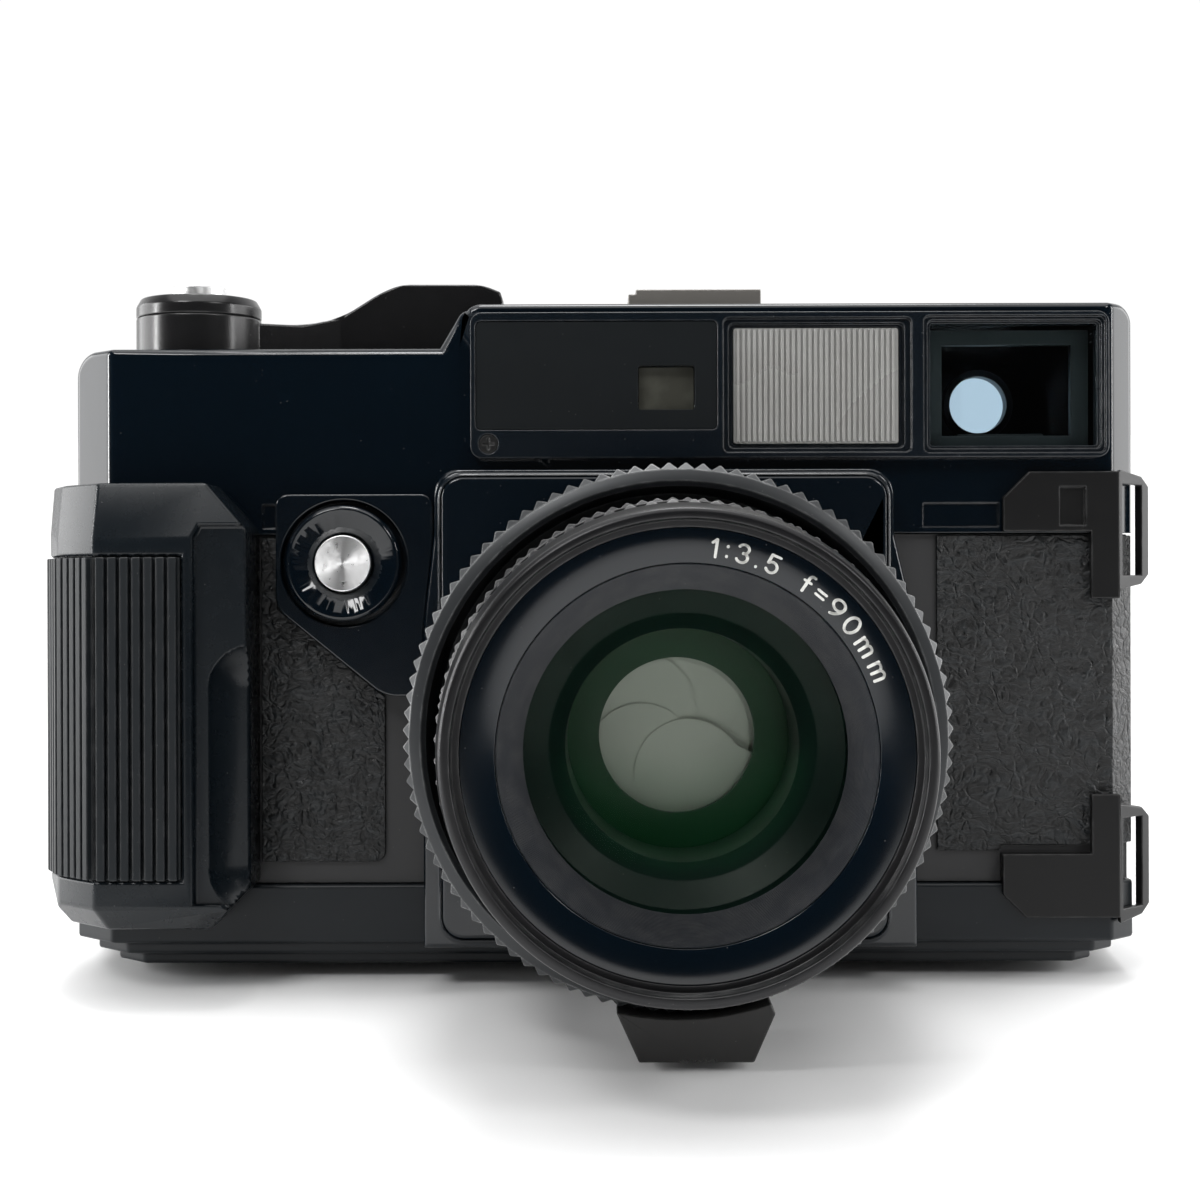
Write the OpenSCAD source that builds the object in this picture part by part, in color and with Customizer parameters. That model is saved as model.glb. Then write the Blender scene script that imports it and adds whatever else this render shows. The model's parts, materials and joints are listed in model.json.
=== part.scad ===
// Medium-format 6x9 rangefinder camera with a fixed 90 mm leaf-shutter lens.
// Millimetres. Z is up, the lens looks along -Y and X runs to the viewer's right.
// X = 0 and Y = 0 are the tripod socket under the lens axis, Z = 0 is the base.

/* [Body] */
// Left side of the covers
body_left = -109; // [-109.5:0.1:-108.5]
// Right side of the covers
body_right = 85; // [84.6:0.1:85.4]
// Front face of the covers
body_front = -11; // [-11.2:0.1:-10.8]
// Rear face of the covers
body_back = 27; // [26.8:0.1:27.4]
// Height of the left top plate
plate_top = 112; // [111.7:0.1:112]
// Height of the finder housing
hump_top = 120; // [119:0.1:120]
// Lower edge of the top cover
cover_low = 78.3; // [78.1:0.1:78.5]
// Upper edge of the bottom cover
base_top = 15; // [14.6:0.1:15.2]
// Wall of the pressed covers
wall = 2; // [1.8:0.1:2]

/* [Film] */
// Width of the film gate
gate_w = 84; // [80:0.5:84]
// Height of the film gate
gate_h = 56; // [54:0.5:56]
// Radius of a film bay
bay_r = 13.4; // [13.2:0.1:13.6]
// Distance of the take-up spool from the lens axis
takeup_x = -62; // [-63:0.5:-62]
// Distance of the supply spool from the lens axis
supply_x = 66; // [65.5:0.5:66]

/* [Lens] */
// Height of the lens axis above the base
axis_z = 44.5; // [44.4:0.1:44.6]
// Radius over the points of the focusing knurl
knurl_r = 43.8; // [43.2:0.1:44]
// Number of focusing knurl points
knurl_count = 100; // [60:1:120]
// Front of the lens, forward of the socket
lens_front = 100; // [99:0.5:101]
// Radius of the filter thread
filter_r = 33.2; // [33:0.1:33.3]
// Number of shutter blades
blade_count = 5; // [5:1:5]

/* [Top] */
// Distance of the advance lever pivot from the lens axis
hub_x = -88.4; // [-88.8:0.1:-88]
// Radius of the lever hub
hub_r = 11.7; // [11.2:0.1:12]
// Width of the accessory shoe
shoe_w = 25; // [24:0.5:25]

/* [Hidden] */
$fn = 96;
cut = 1;
black = [0.06, 0.06, 0.07];
satin = [0.12, 0.12, 0.13];
hide = [0.10, 0.09, 0.09];
silver = [0.80, 0.80, 0.82];
clear = [0.55, 0.65, 0.70];
// Front corners of the covers and of what lies inside them
corner_left = 8;
corner_right = 5;
inner_left = corner_left - 0.6 * wall;
inner_right = corner_right - 0.6 * wall;
// Plan of the chassis casting, behind the leather
cast_left = body_left;
cast_right = body_right - 1;
cast_front = body_front + 1.5;
cast_back = 19;
core_step = 3;
core_low = 8.5;
core_high = 83;
cast_cut_left = corner_left - 1.1;
cast_cut_right = corner_right - 1;
// Film path
bay_y = 6;
bay_low = 11.2;
bay_high = 77.8;
roller_x = 48.5;
roller_y = 16.4;
roller_r = 2.6;
spool_r = 12.5;
// Doorway in the rear of both covers
door_low = 10.4;
door_high = 82.6;
door_front = 19.4;
door_back = 29;
door_left = -101;
door_right = 84.6;
door_gap = 0.4;
hinge_x = -104.5;
hinge_y = 24.2;
hinge_r = 3.2;
hinge_mid_low = 31;
hinge_mid_high = 62;
// Finder housing
hump_left = -37.3;
slope_left = -41.3;
finder_z = 104.6;
finder_x = 62.2;
patch_x = -0.4;
bezel_front = -14;
lug_front = body_front - 1.6;
lug_bend = 81;
bezel_low = 91.8;
bezel_high = 118;
bezel_left = -35.6;
bezel_right = 79;
bezel_screw_x = -32.4;
bezel_screw_z = 94.4;
window_r = 0.5;
window_gap = 0.1;
rib_count = 29;
rib_first = 12.2;
// Lens stations, forward of the socket
flange_bore = 33.8;
flange_r = 37;
flange_rear = 9.5;
flange_front = 34;
barrel_r = 33.75;
front_tube_r = 34;
liner_r = 32.2;
thread_depth = 3.7;
focus_rear = 26.5;
focus_front = 60;
shutter_rear = 40;
blade_pivot_r = 19;
blade_step = 0.7;
blade_first = 42.6;
pivot_angle = 50;
// Advance lever, and the corner of the housing cut back for its tip
lever_x = -28;
lever_y = 11.5;
hub_y = 8;
hub_low = 112.3;
hub_high = 119.6;
counter_x = -70;
counter_y = 7;
shoe_left = -7;
shoe_mid = shoe_left + shoe_w / 2;
// Hand grip, its pad and its finger hollow
grip_left = -111.5;
grip_front = -27.2;
grip_knee = 77.3;
strip_high = 79.5;
pad_low = 18;
pad_high = 74;
pad_right = -85.2;
rib_pitch = 2.08;
rib_width = 1.5;
scoop_x = -73;
scoop_y = -30;
scoop_r = 9;
scoop_low = 20;
scoop_high = 51;
// Front release
front_x = -58.3;
front_z = 73;

// Rounded outline between two corners, made of two bars and four discs.
module rounded(x0, x1, y0, y1, r) {
    translate([x0 + r, y0]) square([x1 - x0 - 2 * r, y1 - y0]);
    translate([x0, y0 + r]) square([x1 - x0, y1 - y0 - 2 * r]);
    for (x = [x0 + r, x1 - r], y = [y0 + r, y1 - r])
        translate([x, y]) circle(r);
}

// Plan outline with square rear corners and two front corners planed off flat.
module plan(left, right, front, back, cut_left, cut_right) {
    polygon([[left, back], [left, front + cut_left], [left + cut_left, front], [right - cut_right, front],
        [right, front + cut_right], [right, back]]);
}

// Raises a plan outline between two heights.
module rise(low, high) {
    translate([0, 0, low]) linear_extrude(high - low) children();
}

// Gives a front-view outline its depth between two Y positions.
module deepen(front, back) {
    translate([0, back, 0]) rotate([90, 0, 0]) linear_extrude(back - front) children();
}

// Block between two opposite corners.
module block(x0, x1, y0, y1, z0, z1) {
    translate([x0, y0, z0]) cube([x1 - x0, y1 - y0, z1 - z0]);
}

// Upright cylinder.
module post(x, y, z0, z1, r) {
    translate([x, y, z0]) cylinder(h = z1 - z0, r = r);
}

// Puts what is drawn along +Z onto the lens axis, pointing forward.
module on_axis() {
    translate([0, 0, axis_z]) rotate([90, 0, 0]) children();
}

// Ring on the lens axis between two stations.
module ring(r_in, r_out, rear, front) {
    on_axis() difference() {
        translate([0, 0, rear]) cylinder(h = front - rear, r = r_out);
        translate([0, 0, rear - cut]) cylinder(h = front - rear + 2 * cut, r = r_in);
    }
}

// Part turned on the lens axis from [radius, station] points.
module turned(points) {
    on_axis() rotate_extrude() polygon(points);
}

// Outline of a ring with pointed teeth.
module toothed(r_root, r_tip, count) {
    polygon([for (i = [0:count - 1], k = [0, 1])
        let (a = (i + k / 2) * 360 / count, r = k == 0 ? r_root : r_tip) [r * cos(a), r * sin(a)]]);
}

// Drum with pointed teeth and a round bore, on the lens axis.
module knurled(r_in, r_root, r_tip, count, rear, front) {
    on_axis() difference() {
        translate([0, 0, rear]) linear_extrude(front - rear) toothed(r_root, r_tip, count);
        translate([0, 0, rear - cut]) cylinder(h = front - rear + 2 * cut, r = r_in);
    }
}

// Die-cast chassis: light chamber, two film bays, film gate with rails, roller seats.
module chassis() color(satin) difference() {
    union() {
        rise(base_top + 0.2, cover_low - 0.2)
            plan(cast_left, cast_right, cast_front, cast_back, cast_cut_left, cast_cut_right);
        rise(core_low, core_high)
            plan(cast_left + core_step, cast_right - core_step, cast_front + core_step, cast_back,
                cast_cut_left, cast_cut_right);
        for (z = [axis_z - gate_h / 2 - 3, axis_z + gate_h / 2 + 2])
            block(-gate_w / 2 - 1, gate_w / 2 + 1, cast_back - 1, cast_back + 0.3, z, z + 1);
    }
    block(cast_left + 5, takeup_x - bay_r - 2, cast_front + core_step + 2, cast_back - 5,
        bay_low, bay_high - 4);
    block(-gate_w / 2, gate_w / 2, cast_front + 3, cast_back + cut,
        axis_z - gate_h / 2, axis_z + gate_h / 2);
    on_axis() translate([0, 0, 5]) cylinder(h = 6, r = 31);
    translate([front_x, cast_front + 1.1, front_z]) rotate([90, 0, 0]) cylinder(h = 3, r = 3.3);
    post(counter_x, counter_y, core_high - 2, core_high + cut, 1.55);
    for (x = [takeup_x, supply_x]) {
        post(x, bay_y, bay_low, bay_high, bay_r);
        block(x - bay_r, x + bay_r, bay_y, cast_back + cut, bay_low, bay_high);
        post(x, bay_y, core_low - cut, bay_low + cut, 2.8);
    }
    post(takeup_x, bay_y, bay_high - cut, core_high + cut, 4.05);
    for (x = [-roller_x, roller_x]) {
        post(x, roller_y, bay_low, bay_high, 3.1);
        block(x - 3.1, x + 3.1, roller_y, cast_back + cut, bay_low, bay_high);
        post(x, roller_y, bay_low - 1.9, bay_high + 1.9, 1.05);
    }
    post(hub_x, hub_y, core_high - 12, core_high + cut, 3.05);
    block(cast_right - 1.2, cast_right + cut, 7.6, 16.6, 56, core_high + cut);
    block(cast_left - cut, hinge_x + 1.6, 16, cast_back + cut, core_low - cut, core_high + cut);
}

// Steel roller that guides the film into the gate.
module roller(x) color(silver) {
    post(x, roller_y, bay_low + 0.8, bay_high - 0.8, roller_r);
    post(x, roller_y, bay_low - 1.6, bay_high + 1.6, 1);
}

module roller_left() roller(-roller_x);

module roller_right() roller(roller_x);

// Empty take-up spool with the drive shaft that turns it.
module takeup_spool() color(satin) difference() {
    union() {
        post(takeup_x, bay_y, bay_low + 0.6, bay_high - 0.6, 6.2);
        for (z = [bay_low + 0.6, bay_high - 1.8])
            post(takeup_x, bay_y, z, z + 1.2, spool_r);
        post(takeup_x, bay_y, bay_high - 1, core_high + 1, 4);
    }
    post(takeup_x, bay_y, bay_low - cut, bay_low + 5.6, 2.9);
    block(takeup_x - 0.6, takeup_x + 0.6, bay_y - 8, bay_y + 8, 22, 67);
}

// Spool stud with its pull knob under the base.
module spool_knob(x) color(black) {
    post(x, bay_y, 0.5, 2.6, 7);
    post(x, bay_y, 2, bay_low + 3.4, 2.5);
}

module spool_knob_left() spool_knob(takeup_x);

module spool_knob_right() spool_knob(supply_x);

// Lower cover with its stepped foot, knob wells and doorway for the back.
module bottom_cover() color(satin) difference() {
    union() {
        rise(0, base_top) plan(-102, 78, -6.5, 24, corner_left - 2, corner_right - 1);
        rise(2.2, base_top) plan(-105.5, 81.5, -9, 25.5, corner_left - 1, corner_right - 0.5);
        rise(4.4, base_top) plan(body_left, body_right, body_front, body_back, corner_left, corner_right);
    }
    rise(6.6, base_top + cut)
        plan(body_left + wall, body_right - wall, body_front + wall, body_back - wall,
            inner_left, inner_right);
    block(body_left - cut, body_right + cut, door_front - 0.2, body_back + cut,
        door_low - 0.4, base_top + cut);
    for (x = [takeup_x, supply_x]) {
        post(x, bay_y, -cut, 3.2, 8);
        post(x, bay_y, 3, 7, 2.7);
    }
    post(0, 0, -cut, 7, 6.5);
    on_axis() translate([0, 0, 8]) cylinder(h = 6, r = flange_r + 0.1);
    for (x = [-90, 42], y = [-1, 20])
        post(x, y, -cut, 1.3, 2.3);
}

// Outline of the patch window opening, grown or shrunk by a margin.
module patch_outline(grow = 0) {
    rounded(-5.5 - grow, 4.7 + grow, 100.5 - grow, 108.4 + grow, window_r);
}

// Outline of the frosted window opening.
module frosted_outline(grow = 0) {
    rounded(11.6 - grow, 41.5 + grow, 94.3 - grow, 115.3 + grow, window_r);
}

// Outline of the finder window opening.
module finder_outline(grow = 0) {
    rounded(47.2 - grow, 77.2 + grow, 94 - grow, 115.9 + grow, window_r);
}

// The three window openings of the finder front.
module window_outlines() {
    patch_outline();
    frosted_outline();
    finder_outline();
}

// Front-view profile of the top cover, with the sloped shoulder of the finder housing.
module cover_face() {
    rounded(body_left, hump_left + 12, cover_low - 20, plate_top, 4.5);
    rounded(hump_left, body_right, cover_low - 20, hump_top, 3.5);
    polygon([[slope_left, cover_low], [slope_left, plate_top], [hump_left, hump_top - 1.2],
        [hump_left + 5, hump_top - 1.2], [hump_left + 5, cover_low]]);
}

// Upper cover with the finder housing, hollow, with its windows and the seat of the lever tip.
module top_cover() color(black) difference() {
    intersection() {
        deepen(body_front, body_back) cover_face();
        rise(cover_low, hump_top + cut)
            plan(body_left, body_right, body_front, body_back, corner_left, corner_right);
    }
    rise(cover_low - cut, plate_top - wall)
        plan(body_left + wall, body_right - wall, body_front + wall, body_back - wall,
            inner_left, inner_right);
    rise(plate_top - wall - cut, hump_top - wall)
        plan(hump_left + wall, body_right - wall, body_front + wall, lever_y - wall, 0.1, inner_right);
    block(lever_x + wall, body_right - wall, lever_y - wall - cut, body_back - wall,
        plate_top - wall - cut, hump_top - wall);
    block(body_left - cut, body_right + cut, door_front - 0.2, body_back + cut,
        cover_low - cut, door_high + 0.4);
    block(slope_left - 20, lever_x, lever_y, body_back + cut, plate_top, hump_top + cut);
    deepen(body_front - cut, body_front + 0.5) {
        rounded(46, 59.6, 79.4, 83.7, 0.2);
        rounded(-73.4, -71, 79.4, 83.7, 0.2);
    }
    deepen(body_front - cut, body_front + wall + cut) window_outlines();
    translate([finder_x, body_back + cut, finder_z]) rotate([90, 0, 0]) cylinder(h = wall + 2 * cut, r = 7);
    post(hub_x, hub_y, plate_top - wall - cut, plate_top + cut, 3.3);
    on_axis() translate([0, 0, 8]) cylinder(h = 6, r = flange_r + 0.1);
    post(counter_x, counter_y - 8, plate_top - wall - cut, plate_top + cut, 3.6);
    block(body_right - wall - cut, body_right + cut, 7.4, 16.8, cover_low - cut, 84);
}

// Outline of the raised panel round the lens.
module surround_face(low, high) {
    intersection() {
        union() {
            rounded(-42, 40, 55, 89.7, 4.5);
            polygon([[-42, 78], [-44, 61], [-44, 4.4], [44, 4.4], [44, 61], [40, 78]]);
        }
        translate([-50, low]) square([100, high - low]);
    }
}

// Raised panel round the lens, with a bevelled outer step.
module lens_surround() color(black) difference() {
    union() {
        deepen(-17, body_front) surround_face(4.4, 89.7);
        deepen(-18, -16) rounded(-40.8, 38.8, 6, 88.5, 4);
        deepen(body_front - cut, cast_front) surround_face(base_top + 0.2, cover_low - 0.2);
    }
    on_axis() translate([0, 0, 9]) cylinder(h = 10, r = flange_r);
}

// Five-sided panel behind the front release.
module release_panel() color(black) difference() {
    union() {
        deepen(-15, body_front) polygon([[-70.5, 85.4], [-70.5, 65], [-51.1, 49.2], [-44.1, 49.2],
            [-44.1, 61], [-42.3, 77], [-42.3, 85.4]]);
        deepen(body_front - cut, cast_front - 0.8) polygon([[-70.5, cover_low - 0.3], [-70.5, 65],
            [-51.1, 49.2], [-44.1, 49.2], [-44.1, 61], [-42.8, cover_low - 0.3]]);
    }
    translate([front_x, -12.2, front_z]) rotate([90, 0, 0]) cylinder(h = 4, r = 11.3);
    translate([front_x, -10, front_z]) rotate([90, 0, 0]) cylinder(h = 4, r = 3.3);
}

// Removes what lies outside a plane through a point; it faces a plan direction and leans back.
module shave(facing, x, y, z, lean) {
    translate([x, y, z]) rotate([0, 0, facing]) rotate([0, -lean, 0]) translate([0, -90, -90])
        cube([60, 180, 180]);
}

// Outline of the grip in plan: front, two facets and the left side.
module grip_plan(shrink = 0) {
    polygon([[grip_left + shrink, 8], [grip_left + shrink, -12], [-108 + shrink, -19.5 + 0.6 * shrink],
        [-100.3 + 0.4 * shrink, grip_front + shrink], [-74, grip_front + shrink], [-74, body_front],
        [body_left, body_front], [body_left, 8]]);
}

// Hand grip with planed corners, a recessed strip and a scooped finger hollow.
module grip() color(black) difference() {
    rise(8.8, 87) grip_plan();
    shave(-90, -90, grip_front, grip_knee, 15);
    shave(-135, -100.3, grip_front, grip_knee, 12);
    shave(-154, -108, -19.5, grip_knee, 8);
    shave(-90, -90, grip_front, 13, -45);
    shave(-135, -100.3, grip_front, 13, -45);
    shave(180, grip_left, 0, 16, -30);
    deepen(-60, 60) {
        polygon([[-82, 88], [-73, 88], [-73, 78], [-74, 79]]);
        polygon([[-73, 16], [-74, 16], [-81, 8.7], [-73, 8.7]]);
    }
    deepen(-60, grip_front + 1.6) polygon([[-83, 13.5], [-83, 77.6], [-82, strip_high], [-73, strip_high],
        [-73, 13.5]]);
    post(scoop_x, scoop_y, scoop_low, scoop_high, scoop_r);
    for (z = [scoop_low, scoop_high])
        translate([scoop_x, scoop_y, z]) sphere(scoop_r);
    block(-101, pad_right + 0.2, -40, grip_front + 1, pad_low - 0.2, pad_high + 0.2);
    rise(pad_low - 0.2, pad_high + 0.2) difference() {
        translate([-120, -40]) square([20.4, 50]);
        grip_plan(1);
        translate([-120, -2]) square([40, 20]);
    }
}

// Ribbed rubber pad let into the front of the grip and round its facets.
module grip_pad() color(hide) rise(pad_low, pad_high) {
    translate([-100.3, grip_front + 0.2]) square([pad_right + 100.3, 0.6]);
    for (i = [0:6])
        translate([-99.6 + i * rib_pitch, grip_front - 1.1]) square([rib_width, 1.5]);
    translate([-100.3, grip_front]) rotate(135) translate([0, -0.8]) {
        square([10.8, 0.6]);
        for (i = [0:4])
            translate([0.7 + i * rib_pitch, 0.4]) square([rib_width, 1.3]);
    }
    translate([-108, -19.5]) rotate(115) translate([0, -0.8]) {
        square([8.3, 0.6]);
        for (i = [0:3])
            translate([0.3 + i * rib_pitch, 0.4]) square([rib_width - 0.2, 1.2]);
    }
    translate([grip_left + 0.2, -12]) square([0.6, 9.6]);
    for (i = [0:3])
        translate([grip_left - 0.9, -11.4 + i * rib_pitch]) square([1.3, rib_width]);
}

// Leather let into the front, left of the lens.
module left_leather() color(hide) deepen(cast_front - 0.8, cast_front)
    polygon([[-73.8, cover_low - 0.5], [-73.8, 19], [-51.4, 19], [-51.4, 48.9],
        [-70.9, 64.8], [-70.9, cover_low - 0.5]]);

// Leather that wraps round the right end of the body.
module right_leather() color(hide) difference() {
    rise(20.8, cover_low - 0.4) difference() {
        plan(45.5, cast_right + 0.8, cast_front - 0.8, cast_back - 1, 1, corner_right - 0.5);
        plan(40, cast_right, cast_front, cast_back + cut, 1, cast_cut_right);
        translate([40, -20]) square([8.5, 60]);
    }
    block(cast_right - cut, cast_right + 2, 7, 20, 55.6, cover_low + cut);
    block(60, cast_right + 2, -14, 4, 20, 21.8);
}

// Bezel over the finder front with three stepped openings.
module finder_bezel() color(black) difference() {
    deepen(bezel_front, body_front) rounded(bezel_left, bezel_right, bezel_low, bezel_high, 2);
    deepen(bezel_front - cut, bezel_front + 1) {
        rounded(-34.7, 8.7, 96.9, 116.4, 1);
        rounded(9.8, 43.6, 92.8, 116.9, 1);
        rounded(45.8, 78.4, 92.6, 117.2, 1);
    }
    deepen(bezel_front, bezel_front + 2) {
        rounded(10.8, 42.4, 93.6, 116, 1);
        rounded(46.6, 77.8, 93.4, 116.5, 1);
    }
    deepen(bezel_front, body_front + cut) window_outlines();
    translate([bezel_screw_x, bezel_front + 1, bezel_screw_z]) rotate([90, 0, 0]) cylinder(h = 4, r = 1.75);
}

// Name panel let into the bezel, with the opening of the patch window.
module nameplate() color(black) deepen(bezel_front + 0.2, bezel_front + 1) difference() {
    rounded(-34.6, 8.6, 97, 116.3, 0.9);
    patch_outline();
}

// Cross-slotted screw head drawn upward from the origin.
module screw_head(r, h) {
    difference() {
        cylinder(h = h, r = r);
        for (a = [0, 90])
            rotate(a) translate([-r * 0.62, -r * 0.13, h * 0.55]) cube([r * 1.24, r * 0.26, h]);
    }
}

// Bezel screw and the four base screws.
module screws() color(silver) {
    translate([bezel_screw_x, bezel_front + 1, bezel_screw_z]) rotate([90, 0, 0]) screw_head(1.7, 0.8);
    for (x = [-90, 42], y = [-1, 20])
        translate([x, y, 1.3]) rotate([180, 0, 0]) screw_head(2.2, 1);
}

// Glass of the rangefinder patch window.
module patch_window() color(clear) deepen(body_front - 0.6, body_front + 0.6) patch_outline(-window_gap);

// Ribbed diffusing window that lights the frame lines.
module frosted_window() color(clear) {
    deepen(body_front - 1.4, body_front - 0.2) frosted_outline(-window_gap);
    for (i = [0:rib_count - 1])
        block(rib_first + i, rib_first + 0.55 + i, body_front - 1.9, body_front - 1.3, 94.7, 114.9);
}

// Front glass of the finder.
module finder_window() color(clear) deepen(body_front - 1.2, body_front) finder_outline(-window_gap);

// Plate and posts that carry the finder optics.
module finder_base() color(satin) {
    block(-12, 79, -6, 22, 84, 86);
    for (x = [-9, 76], y = [-3, 19])
        post(x, y, core_high, 84.5, 2.4);
    block(54, 70, 0, 16, 85.5, 97);
    block(-7, 6, 0, 16, 85.5, 99);
    difference() {
        block(47.5, 77, -6, -4, 85.5, 115.5);
        block(52, 72, -7, -3, 98, 111);
    }
    difference() {
        block(12, 41, -6, -4.6, 85.5, 115.5);
        block(17, 36, -7, -3, 98, 111);
    }
}

// Half-silvered cube that joins the two finder images.
module beam_splitter() color(clear) block(55, 69.4, 1, 15, 97, 111.5);

// Mirror behind the patch window, on the arm that follows the focusing.
module patch_mirror() color(silver) {
    translate([patch_x, 8, 99.3]) rotate([0, 0, 45]) translate([-6.5, -0.8, 0]) cube([13, 1.6, 11]);
    post(patch_x, 8, 99.1, 100.2, 2.4);
}

// Round frame of the eyepiece at the back.
module eyepiece_ring() color(satin) translate([finder_x, body_back, finder_z]) rotate([-90, 0, 0])
    rotate_extrude() polygon([[5.6, -3], [6.9, -3], [6.9, 0], [8.6, 0], [8.6, 1.4], [8, 2], [6.2, 2], [5.6, 1]]);

// Glass of the eyepiece.
module eyepiece_glass() color(clear) translate([finder_x, body_back - 2.6, finder_z]) rotate([-90, 0, 0])
    cylinder(h = 2.4, r = 5.55);

// Accessory shoe with turned-in rails, open to the rear and stopped at the front.
module accessory_shoe() color(silver) difference() {
    block(shoe_left, shoe_left + shoe_w, 5, 23, hump_top, 124.8);
    block(shoe_mid - 9.4, shoe_mid + 9.4, 6.6, 24, 121.2, 123.6);
    block(shoe_mid - 6.4, shoe_mid + 6.4, 8.6, 24, 123, 125);
    block(shoe_left - cut, shoe_left + 1.4, 4, 24, 123.9, 125);
}

// Side of a strap lug: a strip bent back along the planed corner, with the opening for a strap end.
module lug_side(low, high, loop_low, loop_high) intersection() {
    difference() {
        rise(min(low, loop_low), max(high, loop_high)) polygon([[76, body_front], [76, lug_front],
            [lug_bend, lug_front], [lug_bend + 7.2, lug_front + 7.2], [lug_bend + 6.1, lug_front + 8.3],
            [lug_bend - 0.6, body_front]]);
        translate([lug_bend, lug_front, loop_low + 2.6]) rotate([0, 0, 45]) translate([1.3, -cut, 0])
            cube([6.5, 4, loop_high - loop_low - 5.2]);
    }
    deepen(-20, 0) polygon([[75, low], [75, high], [lug_bend + 0.2, high], [lug_bend + 0.2, loop_high],
        [86.4, loop_high - 1], [88.4, loop_high - 3], [88.4, loop_low + 3], [86.4, loop_low + 1],
        [lug_bend + 0.2, loop_low], [lug_bend + 0.2, low]]);
}

// Upper strap lug: plate with a cut corner and a square recess, and its side.
module upper_lug() color(black) {
    difference() {
        deepen(lug_front, body_front) polygon([[60.2, 78.5], [60.2, 84.6], [64.9, 89.3], [76.5, 89.3],
            [76.5, 78.5]]);
        block(70.4, 75, -15, body_front - 0.6, 79.6, 86.5);
    }
    lug_side(66.4, 89.3, 68, 89.6);
}

// Lower strap lug, the mirror of the upper one.
module lower_lug() color(black) {
    deepen(lug_front, body_front) polygon([[60, 14.9], [60, 13.1], [64.2, 8.9], [76.5, 8.9], [76.5, 14.9]]);
    deepen(lug_front, cast_front) polygon([[60, 15.2], [60, 20.4], [76.5, 20.4], [76.5, 15.2]]);
    deepen(lug_front, body_front - 0.4) polygon([[60, 14], [60, 20.4], [76.5, 20.4], [76.5, 14]]);
    lug_side(8.9, 31.1, 7.8, 29.3);
}

// Threaded tripod insert in the base.
module tripod_insert() color(silver) difference() {
    post(0, 0, 0, 8.4, 6.45);
    post(0, 0, -cut, 7.4, 3.175);
}

// Lens of the frame counter, flush with the top plate.
module counter_window() color(clear) post(counter_x, counter_y - 8, plate_top - 1.6, plate_top, 3.55);

// Frame counter dial under its window.
module counter_dial() color(silver) {
    post(counter_x, counter_y, plate_top - 4.4, plate_top - 3.4, 11);
    post(counter_x, counter_y, core_high - 1.8, plate_top - 4, 1.5);
}

// Fixed helicoid tube on the chassis.
module lens_flange() color(satin) turned([[flange_bore, flange_rear], [flange_r, flange_rear],
    [flange_r, flange_front], [flange_bore, flange_front]]);

// Fixed ring with the distance and depth-of-field scale.
module scale_ring() color(black) turned([[flange_r, 18.2], [41, 18.2], [41.6, 19], [41.6, 25.4], [41, 26],
    [flange_r, 26]]);

// Focusing ring with its pointed knurl, beveled face and clearance for the inner rings.
module focus_ring() color(black) difference() {
    union() {
        knurled(flange_r + 0.05, knurl_r - 0.9, knurl_r, knurl_count, 31, focus_front - 1.4);
        ring(flange_r + 0.05, knurl_r - 1.6, focus_rear, focus_front - 1.2);
        turned([[38, focus_front - 2], [knurl_r - 1.2, focus_front - 2], [knurl_r - 1.2, focus_front - 0.6],
            [knurl_r - 3, focus_front], [38, focus_front]]);
    }
    on_axis() translate([0, 0, 36]) cylinder(h = 40, r = 39.9);
}

// Finger tab under the focusing ring.
module focus_tab() color(black) difference() {
    deepen(-focus_front - 1, -44) polygon([[-9.9, 1.4], [-6.4, -6.3], [11.7, -6.3], [15.1, 1.4], [13, 5.5],
        [-8.2, 5.5]]);
    on_axis() translate([0, 0, 40]) cylinder(h = 30, r = knurl_r + 0.1);
    for (i = [0:4])
        block(0.2 + i * 1.2, 0.8 + i * 1.2, -62, -43, -7, -5.9);
}

// Sliding lens barrel with the tube that carries the two setting rings and the filter thread.
module lens_barrel() color(black) turned([[31.2, 12], [barrel_r, 12], [barrel_r, 58], [front_tube_r, 60],
    [front_tube_r, 87], [36.1, 87], [35.8, 92], [34.7, lens_front], [filter_r, lens_front],
    [filter_r, lens_front - thread_depth], [liner_r, lens_front - thread_depth], [liner_r, 62], [31.2, 60]]);

// Shutter speed ring.
module speed_ring() color(black) {
    knurled(front_tube_r + 0.05, 37.2, 38.2, 70, 62, 70);
    ring(front_tube_r + 0.05, 37, 61.4, 74);
}

// Aperture ring.
module aperture_ring() color(black) {
    knurled(front_tube_r + 0.05, 35.9, 36.8, 70, 76, 84);
    ring(front_tube_r + 0.05, 35.6, 74.4, 86.6);
}

// Ring behind the filter thread that carries the engraved lens data.
module name_ring() color(black) turned([[27.2, 92.4], [liner_r - 0.05, 92.4],
    [liner_r - 0.05, lens_front - thread_depth - 0.5], [27.2, lens_front - thread_depth - 1]]);

// Stepped anti-reflection cone in front of the first glass.
module baffle() color(satin) turned(concat(
    [for (i = [0:7]) each [[27.1 - i * 0.45, 95 - i * 0.95], [27.1 - (i + 1) * 0.45, 95 - i * 0.95]]],
    [[23.5, 87], [27.1, 87]]));

// Threaded cell that holds the front glasses.
module front_cell() color(satin) turned([[17.6, 56], [31, 56], [31, 70], [liner_r - 0.05, 72],
    [liner_r - 0.05, 92.3], [27.2, 92.3], [27.2, 86.9], [24.1, 86.9], [24.1, 79], [20, 77], [17.6, 74]]);

// Front glass, domed outward.
module front_element() color(clear) on_axis() intersection() {
    translate([0, 0, 79.2]) cylinder(h = 10, r = 24);
    translate([0, 0, 33]) sphere(r = 55.4, $fn = 128);
}

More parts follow.
